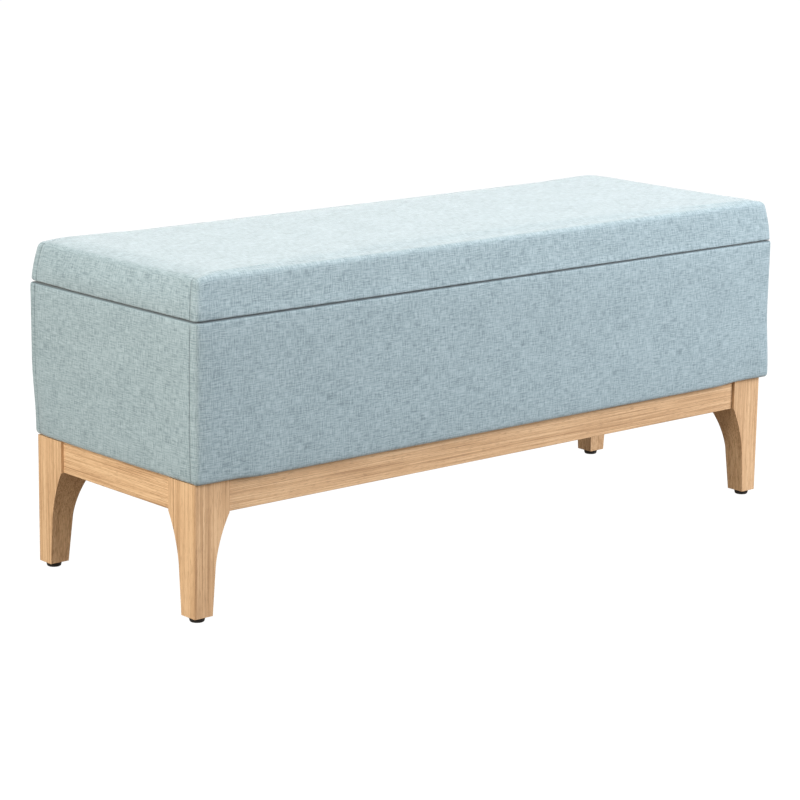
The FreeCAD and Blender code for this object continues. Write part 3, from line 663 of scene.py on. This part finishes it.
def makeBoxCover():
    look = boxCoverLook
    x, y = boxHigh.x, boxHigh.y
    low, high = boxLow.z - look["drop"], boxHigh.z
    bm = boxMesh((-x, -y, low), (x, y, high))
    roundEdges(bm, isUpright, look["corner"], 4)
    roundEdges(bm, isLevelAt(high), look["topEdge"], 3)
    roundEdges(bm, isLevelAt(low), look["lowEdge"], 4)
    cutAcross(bm, 0, spread(-x + look["corner"], x - look["corner"], look["grid"]))
    cutAcross(bm, 1, spread(-y + look["flange"], y - look["flange"], look["grid"]))
    cutAcross(bm, 2, spread(low + look["lowEdge"], high - look["topEdge"], look["grid"]))
    cutAcross(bm, 0, [-x + look["flange"], x - look["flange"], -x + look["hem"], x - look["hem"]])
    cutAcross(bm, 1, [-y + look["flange"], y - look["flange"], -y + look["hem"], y - look["hem"]])
    seam = y - look["seamInset"]
    offsets = [step * look["seamWidth"] for step in (-2, -1, 0, 1, 2)]
    for side in (-1, 1):
        cutAcross(bm, 1, [side * seam + offset for offset in offsets])
    layCloth(bm)
    cover = addPiece(
        "boxCover",
        bm,
        upholstery,
        "base",
        ("body_cover", "foam_front", "foam_back", "foam_left", "foam_right"),
    )

    def held(point):
        if not low + look["lowEdge"] < point.z < high - look["topEdge"]:
            return 1.0
        nearX = 1 - ease(x - abs(point.x), 0.0, 0.02)
        nearY = 1 - ease(y - abs(point.y), 0.0, 0.02)
        return 0.4 * nearX * nearY

    swell(cover, look, held)
    bm = bmesh.new()
    bm.from_mesh(cover.data)

    def isOnEnd(vert):
        return abs(vert.co.x) > x - 0.004 and low + 0.002 < vert.co.z < high - 0.002

    def fromSeam(vert):
        return abs(vert.co.y) - seam

    drawSeam(bm, isOnEnd, fromSeam, look["seamWidth"], look["seamDepth"])
    # the lower roll hangs a little past the rails, less over the legs
    for vert in bm.verts:
        lowness = 1 - ease(vert.co.z - low, 0.0, 0.03)
        outFront = ease(abs(vert.co.y), railLow, railLow + 0.005)
        outEnd = ease(abs(vert.co.x), railEnd, railEnd + 0.005)
        between = 1 - ease(abs(vert.co.x), legInner.x - 0.05, legInner.x)
        betweenEnds = 1 - ease(abs(vert.co.y), legInner.y - 0.04, legInner.y)
        hang = look["sagAtLeg"] + (look["sag"] - look["sagAtLeg"]) * between
        hangEnd = 0.2 * look["sag"] * betweenEnds
        vert.co.z -= lowness * max(hang * outFront, hangEnd * outEnd)
        # each corner is pulled in, or stands out, by its own amount towards its foot
        side = tuple(int(math.copysign(1, part)) for part in vert.co.xy)
        cornered = (1 - ease(x - abs(vert.co.x), 0, look["tuckReach"])) * (
            1 - ease(y - abs(vert.co.y), 0, look["tuckReach"])
        )
        tuck = look["tuck"][side] * cornered * (1 - ease(vert.co.z - low, *look["tuckHeight"]))
        vert.co.x -= side[0] * tuck
        vert.co.y -= side[1] * tuck
        # the flange that the lid closes on gets painted shade, the seam's deep tone, so that the gap reads
        # dark
        if vert.co.z > high - look["facing"]:
            vert[bm.verts.layers.float["seam"]] = 1.0

    def isInside(face, inset):
        middle = face.calc_center_median()
        return abs(middle.x) < x - inset and abs(middle.y) < y - inset

    hole = [
        face
        for face in bm.faces
        if (face.normal.z > 0.9 and isInside(face, look["flange"]))
        or (face.normal.z < -0.9 and isInside(face, look["hem"]))
    ]
    bmesh.ops.delete(bm, geom=hole, context="FACES")
    bm.to_mesh(cover.data)
    bm.free()
    thicken(cover, look["cloth"])
    subdivide(cover)


makeBoxCover()
print("box cover made")

timberLook = {"ease": 0.0011, "glideEase": 0.0006, "steelEase": 0.0002, "segments": 2}


def easeTimber(node, name, material):
    # a copy of the part's own mesh, merged, with its edges eased
    bm = bmesh.new()
    bm.from_mesh(nodes[node].data)
    bmesh.ops.remove_doubles(bm, verts=bm.verts, dist=1e-5)
    bmesh.ops.dissolve_limit(bm, angle_limit=0.01, verts=bm.verts, edges=bm.edges)
    piece = addPiece(name, bm, material, "base", (node,), smooth=False)
    bevel = piece.modifiers.new("ease", "BEVEL")
    bevel.width = timberLook["ease"]
    bevel.segments = timberLook["segments"]
    bevel.limit_method = "ANGLE"
    bevel.angle_limit = math.radians(28)
    bevel.harden_normals = False
    return piece


def camel(name):
    words = name.split("_")
    return words[0] + "".join(word.capitalize() for word in words[1:])


for corner in corners:
    easeTimber(f"leg_{corner}", camel(f"leg_{corner}"), oakUpright)
    easeTimber(f"corner_block_{corner}", camel(f"corner_block_{corner}"), oakAlongX)
for rail, material in (
    ("rail_front", oakAlongX),
    ("rail_back", oakAlongX),
    ("rail_left", oakAlongY),
    ("rail_right", oakAlongY),
    ("cross_rail", oakAlongY),
):
    easeTimber(rail, camel(rail), material)
print("legs and rails made")

for corner in corners:
    glide = easeTimber(f"foot_glide_{corner}", camel(f"foot_glide_{corner}"), glidePlastic)
    glide.modifiers["ease"].width = timberLook["glideEase"]

liningLook = {
    "cloth": 0.0012,
    "corner": 0.006,
    "grid": 0.018,
    "slack": 0.0011,
    "slackAtStays": 0.0002,
    "rim": 0.007,
    "roll": 0.0003,
}


def makeBoxLining():
    look = liningLook
    low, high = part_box("lining")
    thick = look["cloth"]
    inner = Vector((high.x - thick, high.y - thick, high.z))
    floor = low.z + thick
    bm = boxMesh((-inner.x, -inner.y, floor), (inner.x, inner.y, inner.z))
    lid = [face for face in bm.faces if face.normal.z > 0.9]
    bmesh.ops.delete(bm, geom=lid, context="FACES_ONLY")
    inside = [edge for edge in bm.edges if not edge.is_boundary]
    bmesh.ops.bevel(
        bm,
        geom=inside,
        offset=look["corner"],
        segments=3,
        profile=0.5,
        affect="EDGES",
        material=-1,
    )
    edge = look["corner"] * 1.5
    cutAcross(bm, 0, spread(-inner.x + edge, inner.x - edge, look["grid"]))
    cutAcross(bm, 1, spread(-inner.y + edge, inner.y - edge, look["grid"]))
    cutAcross(bm, 2, spread(floor + edge, inner.z - look["rim"], look["grid"]))
    bmesh.ops.reverse_faces(bm, faces=bm.faces)
    bm.normal_update()
    for vert in bm.verts:
        away = min(inner.z - vert.co.z, 0.05) / 0.05
        ripple = noise.noise(Vector((vert.co.x * 9, vert.co.y * 9, vert.co.z * 5)))
        slack = look["slackAtStays"] if abs(vert.co.x) > inner.x - 0.001 else look["slack"]
        swayed = vert.normal * slack * away * (0.6 + ripple)
        vert.co += Vector((swayed.x, swayed.y, max(swayed.z, 0.0)))
    # a bound rim is turned out over the panels' inner edge
    rim = [edge for edge in bm.edges if edge.is_boundary]
    rolled = bmesh.ops.extrude_edge_only(bm, edges=rim)
    for vert in rolled["geom"]:
        if isinstance(vert, bmesh.types.BMVert):
            for axis in (0, 1):
                if abs(vert.co[axis]) > inner[axis] - 0.01:
                    vert.co[axis] += math.copysign(look["roll"], vert.co[axis])
    lining = addPiece("boxLining", bm, liningCloth, "base", ("lining",))
    thicken(lining, thick)
    subdivide(lining)


makeBoxLining()
print("box lining made")

# the lid's underside and the dust cover, each with a folded edge
flatClothLooks = {
    "lid_lining": {
        "name": "lidLining",
        "material": liningCloth,
        "slot": "lining_fabric",
        "body": "lid",
        "cloth": 0.0009,
        "fold": 0.012,
        "step": 0.6,
        "pucker": 0.0004,
        "puckerReach": 0.012,
        "pitch": 0.03,
        "grid": 0.02,
        "side": 1.0,
    },
    "dust_cover": {
        "name": "dustCover",
        "material": dustCloth,
        "slot": "dust_cloth",
        "body": "base",
        "cloth": 0.0005,
        "fold": 0.01,
        "step": 0.6,
        "pucker": 0.0004,
        "puckerReach": 0.012,
        "pitch": 0.045,
        "grid": 0.02,
        "side": 0.0,
    },
}


def makeFlatCloth(node, look):
    low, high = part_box(node)
    bm = bmesh.new()
    bmesh.ops.create_grid(bm, x_segments=1, y_segments=1, size=0.5)
    bmesh.ops.scale(bm, vec=(high.x - low.x, high.y - low.y, 1), verts=bm.verts)
    fold, turn = look["fold"], 0.001
    cutAcross(bm, 0, spread(low.x, high.x, look["grid"]))
    cutAcross(bm, 1, spread(low.y, high.y, look["grid"]))
    for axis in (0, 1):
        inner, outer = low[axis] + fold, high[axis] - fold
        cutAcross(bm, axis, [inner, inner + turn, outer - turn, outer])
    for vert in bm.verts:
        inset = min(high.x - abs(vert.co.x), high.y - abs(vert.co.y))
        along = vert.co.x if high.x - abs(vert.co.x) > high.y - abs(vert.co.y) else vert.co.y
        wave = math.cos(2 * math.pi * along / look["pitch"])
        pull = 0.5 + 0.5 * wave * math.exp(-inset / look["puckerReach"])
        folded = look["step"] * look["cloth"] * (1 - ease(inset, fold - turn, fold + turn))
        puckered = look["pucker"] * pull * ease(inset, 0, 0.004)
        vert.co.z = high.z - 0.0001 - folded - puckered
    bmesh.ops.reverse_faces(bm, faces=bm.faces)
    cloth = addPiece(look["name"], bm, look["material"], look["body"], (node,))
    thicken(cloth, look["cloth"])
    cloth.modifiers["clothThickness"].offset = look["side"]


for node, look in flatClothLooks.items():
    makeFlatCloth(node, look)

stapleLook = {
    "width": 0.011,
    "wire": 0.0006,
    "proud": 0.0005,
    "sunk": 0.0004,
    "inset": 0.006,
    "pitch": 0.052,
    "turn": 0.4,
}


def makeStaples():
    look = stapleLook
    low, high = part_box("dust_cover")
    bm = bmesh.new()

    def addStaple(x, y, turn):
        reach, half = look["width"] / 2, look["wire"] / 2
        staple = boxMesh((-reach, -half, -look["proud"]), (reach, half, look["sunk"]))
        roundEdges(staple, lambda edge: abs(edge.verts[0].co.x - edge.verts[1].co.x) < 1e-6, 0.0002, 1)
        bmesh.ops.transform(
            staple,
            matrix=Matrix.Translation((x, y, low.z + 0.0002)) @ Matrix.Rotation(turn, 4, "Z"),
            verts=staple.verts,
        )
        held = bpy.data.meshes.new("staple")
        staple.to_mesh(held)
        staple.free()
        bm.from_mesh(held)
        bpy.data.meshes.remove(held)

    for x in spread(low.x, high.x, look["pitch"]):
        for side in (-1, 1):
            turn = noise.noise(Vector((x * 50, side, 0))) * look["turn"]
            addStaple(x, side * (high.y - look["inset"]), turn)
    for y in spread(low.y, high.y, look["pitch"]):
        for side in (-1, 1):
            turn = math.pi / 2 + noise.noise(Vector((y * 50, side, 1))) * look["turn"]
            addStaple(side * (high.x - look["inset"]), y, turn)
    addPiece("dustCoverStaples", bm, zincedSteel, "base", smooth=False)


makeStaples()
print("flat cloths made")

screwLook = {
    "steps": 20,
    "radius": 0.0032,
    "flatDome": 0.0004,
    "dome": 0.0006,
    "taper": 0.85,
    "crossWidth": 0.0008,
    "crossReach": 0.0019,
    "crossDepth": 0.0006,
}


def screwHead(radius, dome):
    # a domed head with a cross recess, its axis up and its underside at the origin
    look = screwLook
    bm = bmesh.new()
    bmesh.ops.create_cone(
        bm,
        cap_ends=True,
        segments=look["steps"],
        radius1=radius,
        radius2=radius * look["taper"],
        depth=dome,
        matrix=Matrix.Translation((0, 0, dome / 2)),
    )
    roundEdges(bm, isLevelAt(dome), dome * 0.4, 2)
    half = look["crossWidth"] / 2
    cutAcross(bm, 0, [-look["crossReach"], -half, half, look["crossReach"]])
    cutAcross(bm, 1, [-look["crossReach"], -half, half, look["crossReach"]])

    def inCross(face):
        middle = face.calc_center_median()
        across, along = sorted((abs(middle.x), abs(middle.y)))
        return across < half and along < look["crossReach"] and middle.z > dome * 0.3

    cross = [face for face in bm.faces if inCross(face)]
    sunk = bmesh.ops.extrude_face_region(bm, geom=cross)
    floor = [vert for vert in sunk["geom"] if isinstance(vert, bmesh.types.BMVert)]
    bmesh.ops.translate(bm, vec=(0, 0, -look["crossDepth"]), verts=floor)
    bmesh.ops.delete(bm, geom=cross, context="FACES_ONLY")
    bmesh.ops.recalc_face_normals(bm, faces=bm.faces)
    return bm


def shells(node):
    # the separate solids of one node: the low and high corners of each
    bm = bmesh.new()
    bm.from_mesh(nodes[node].data)
    bmesh.ops.remove_doubles(bm, verts=bm.verts, dist=1e-5)
    waiting = set(bm.verts)
    found = []
    while waiting:
        front = [waiting.pop()]
        island = []
        while front:
            vert = front.pop()
            island.append(vert.co.copy())
            for edge in vert.link_edges:
                other = edge.other_vert(vert)
                if other in waiting:
                    waiting.remove(other)
                    front.append(other)
        low = Vector([min(co[axis] for co in island) for axis in range(3)])
        high = Vector([max(co[axis] for co in island) for axis in range(3)])
        found.append((low, high))
    bm.free()
    return sorted(found, key=lambda pair: (round(pair[0].x, 4), round(pair[0].y, 4)))


def addCopies(name, pattern, places, material, body, replaced=()):
    held = bpy.data.meshes.new("pattern")
    pattern.to_mesh(held)
    pattern.free()
    bm = bmesh.new()
    for place in places:
        first = len(bm.verts)
        bm.from_mesh(held)
        bm.verts.ensure_lookup_table()
        bmesh.ops.transform(bm, matrix=place, verts=bm.verts[first:])
    bpy.data.meshes.remove(held)
    return addPiece(name, bm, material, body, replaced, smooth=False)


def facing(point, direction, turn=0.0):
    aim = Vector(direction).to_track_quat("Z", "Y").to_matrix().to_4x4()
    return Matrix.Translation(point) @ aim @ Matrix.Rotation(turn, 4, "Z")


def makeScrews():
    # way is the side that the heads face along their axis, and 0 is towards the middle
    look = screwLook
    rows = (
        ("hinge_screws_box", "base", 2, 1, look["flatDome"]),
        ("hinge_screws_lid", "lid", 2, -1, look["flatDome"]),
        ("stay_screws_box", "base", 0, 0, look["dome"]),
        ("stay_screws_lid", "lid", 2, -1, look["dome"]),
    )
    for node, body, axis, way, dome in rows:
        places = []
        for index, (low, high) in enumerate(shells(node)):
            middle = (low + high) / 2
            toward = way or (-1 if middle[axis] > 0 else 1)
            point = middle.copy()
            point[axis] = high[axis] if toward > 0 else low[axis]
            point[axis] -= toward * 0.0001
            direction = [0, 0, 0]
            direction[axis] = toward
            places.append(facing(point, direction, index * 0.7))
        name = camel(node.replace("_screws", "_screw_heads"))
        addCopies(name, screwHead(look["radius"], dome), places, zincedSteel, body)


makeScrews()

boltLook = {"across": 0.0131, "chamfer": 0.0006, "turn": 0.5}


def makeBoltHeads():
    # six-sided heads on the bolts that hold the box to its frame
    look = boltLook
    found = shells("base_bolts")
    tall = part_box("bolt_washers")[0].z - found[0][0].z
    pattern = bmesh.new()
    radius = look["across"] / 2 / math.cos(math.pi / 6)
    bmesh.ops.create_cone(pattern, cap_ends=True, segments=6, radius1=radius, radius2=radius, depth=tall)
    roundEdges(pattern, isLevelAt(-tall / 2), look["chamfer"], 2)
    places = []
    for index, (low, high) in enumerate(found):
        middle = (low + high) / 2
        point = Vector((middle.x, middle.y, low.z + tall / 2))
        places.append(Matrix.Translation(point) @ Matrix.Rotation(index * look["turn"], 4, "Z"))
    addCopies("baseBoltHeads", pattern, places, zincedSteel, "base")


makeBoltHeads()

easedSteel = {
    "hinge_left_box_leaf": "base",
    "hinge_right_box_leaf": "base",
    "hinge_left_lid_leaf": "lid",
    "hinge_right_lid_leaf": "lid",
    "stay_left_long_arm": "stay_left_long_arm",
    "stay_right_long_arm": "stay_right_long_arm",
    "stay_left_short_arm": "stay_left_short_arm",
    "stay_right_short_arm": "stay_right_short_arm",
    "stay_left_lid_bracket": "lid",
    "stay_right_lid_bracket": "lid",
    "stay_left_box_plate": "base",
    "stay_right_box_plate": "base",
}
for node, body in easedSteel.items():
    plate = easeTimber(node, camel(node), zincedSteel)
    plate.modifiers["ease"].width = timberLook["steelEase"]
    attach(plate, body)

bumperLook = {"steps": 24, "edge": 0.0006, "taper": 0.88}


def makeBumpers():
    look = bumperLook
    found = shells("lid_bumpers")
    low, high = found[0]
    radius, tall = (high.x - low.x) / 2, high.z - low.z
    pattern = bmesh.new()
    bmesh.ops.create_cone(
        pattern,
        cap_ends=True,
        segments=look["steps"],
        radius1=radius,
        radius2=radius * look["taper"],
        depth=tall,
    )
    roundEdges(pattern, isLevelAt(tall / 2), look["edge"], 3)
    places = [Matrix.Translation((low + high) / 2) for low, high in found]
    addCopies("lidBumpers", pattern, places, bumperRubber, "base", ("lid_bumpers",))


makeBumpers()
print("hardware made")

# the CAD nodes that are still shown keep their shape and get a finish
finishes = {
    "board": rawBoard,
    "foam": padFoam,
    "lining_fabric": liningCloth,
    "dust_cloth": dustCloth,
    "black_plastic": glidePlastic,
    "bumper_rubber": bumperRubber,
    "steel": zincedSteel,
    "oak_wood": oakUpright,
    "upholstery_fabric": upholstery,
}
for part in frame["record"]["subparts"]:
    holder = nodes[part["node"]]
    holder.data.materials.clear()
    holder.data.materials.append(finishes[part["material_slot"]])
print("finishes given")

stageLook = {
    "floor": 12.0,
    "floorTone": tone(0.06, 0.06, 0.06),
    "seen": 1.0,  # how bright floor and backdrop look
    "floorGlow": 0.2,  # how much the floor lights the bench, and in which tone
    "floorWarmth": tone(1.0, 0.74, 0.48),
    "roomGlow": 0.46,  # how much the room lights it
}


def makeStage():
    look = stageLook
    bm = bmesh.new()
    bmesh.ops.create_grid(bm, x_segments=1, y_segments=1, size=look["floor"])
    mesh = bpy.data.meshes.new("floor")
    bm.to_mesh(mesh)
    bm.free()
    floor = bpy.data.objects.new("floor", mesh)
    scene.collection.objects.link(floor)
    finish = Finish("studioFloor")
    seen = finish.node("ShaderNodeLightPath")
    glow = look["floorGlow"] + seen * (look["seen"] - look["floorGlow"])
    shader = finish.node(
        "ShaderNodeBsdfPrincipled",
        sockets={
            "Base Color": look["floorTone"],
            "Roughness": 1.0,
            "Specular IOR Level": 0.0,
            "Emission Color": finish.blend(seen, look["floorWarmth"], tone(1, 1, 1)),
            "Emission Strength": glow,
        },
    )
    finish.node("ShaderNodeOutputMaterial", sockets={"Surface": shader})
    mesh.materials.append(finish.material)
    world = bpy.data.worlds.new("studio")
    room = Finish("studio", world)
    seen = room.node("ShaderNodeLightPath")
    glow = look["roomGlow"] + seen * (look["seen"] - look["roomGlow"])
    shader = room.node("ShaderNodeBackground", sockets={"Color": tone(1, 1, 1), "Strength": glow})
    room.node("ShaderNodeOutputWorld", sockets={"Surface": shader})
    scene.world = world


softLights = {
    "overhead": {"at": (0.6, 0.3, 2.6), "size": (2.6, 2.0), "power": 46.0, "tint": (1.03, 0.93, 0.84)},
    "leftLight": {"at": (-2.9, -0.3, 1.6), "size": (1.6, 1.6), "power": 80.0, "tint": (1.0, 0.96, 0.88)},
    "frontLight": {"at": (2.0, -2.6, 1.65), "size": (1.8, 1.6), "power": 121.0, "tint": (0.98, 1.01, 1.07)},
}


def makeLights():
    for name, look in softLights.items():
        light = bpy.data.lights.new(name, "AREA")
        light.shape = "RECTANGLE"
        light.size, light.size_y = look["size"]
        light.energy = look["power"]
        light.color = look["tint"]
        lamp = bpy.data.objects.new(name, light)
        lamp.location = look["at"]
        aim = Vector((0, 0, 0.3)) - Vector(look["at"])
        lamp.rotation_euler = aim.to_track_quat("-Z", "Y").to_euler()
        scene.collection.objects.link(lamp)


cameraLook = {
    "at": (-2.5316, -2.8205, 1.0487),
    "heading": 0.7241,  # from +Y towards +X
    "dip": 0.2222,
    "roll": 0.015,
    "lens": 119.4,
}


def makeCamera():
    look = cameraLook
    camera = bpy.data.cameras.new("camera")
    camera.lens = look["lens"]
    camera.sensor_width = 36.0
    eye = bpy.data.objects.new("camera", camera)
    turn = Matrix.Rotation(-look["heading"], 4, "Z")
    tilt = Matrix.Rotation(math.pi / 2 - look["dip"], 4, "X")
    roll = Matrix.Rotation(look["roll"], 4, "Z")
    eye.matrix_world = Matrix.Translation(look["at"]) @ turn @ tilt @ roll
    scene.collection.objects.link(eye)
    scene.camera = eye


makeStage()
makeLights()
makeCamera()
scene.view_settings.view_transform = "Standard"
print("stage made")
